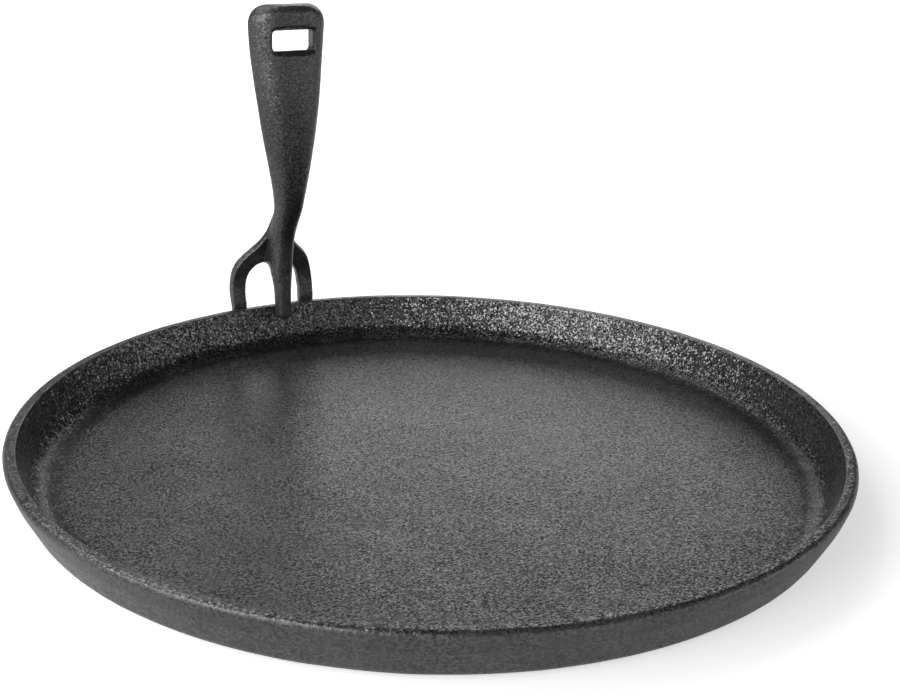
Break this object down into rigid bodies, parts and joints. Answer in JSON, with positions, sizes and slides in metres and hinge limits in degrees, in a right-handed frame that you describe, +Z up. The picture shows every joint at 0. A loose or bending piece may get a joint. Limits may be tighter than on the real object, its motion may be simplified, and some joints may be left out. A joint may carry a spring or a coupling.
{
  "type": "griddle pan with lifting handle",
  "caption": "Shallow round cast iron griddle pan with a flared wall and a loose forked lifting handle that hooks over its rim.",
  "frame": {"origin": "centre of the pan's flat foot, on the surface that the pan stands on", "axes": "+Z up along the pan's axis; +Y towards the rim where the handle hooks on; the handle's grip faces the pan"},
  "size_m": [0.3, 0.3048, 0.1522],
  "materials": {
    "pan_iron": "seasoned sand-cast iron: a fine matte floor, a coarse glinting inner wall, a smoother rim and upper wall",
    "handle_iron": "seasoned sand-cast iron, fine grained and a little smoother than the pan"
  },
  "bodies": {
    "pan": {"griddle_pan": "pan_iron"},
    "handle": {"lifting_handle": "handle_iron"}
  },
  "joints": [
    {"name": "handle_lift_off", "type": "slide", "parent": "pan", "child": "handle", "axis": [0, 0.4617, 0.887], "range_m": [0, 0.06]}
  ]
}
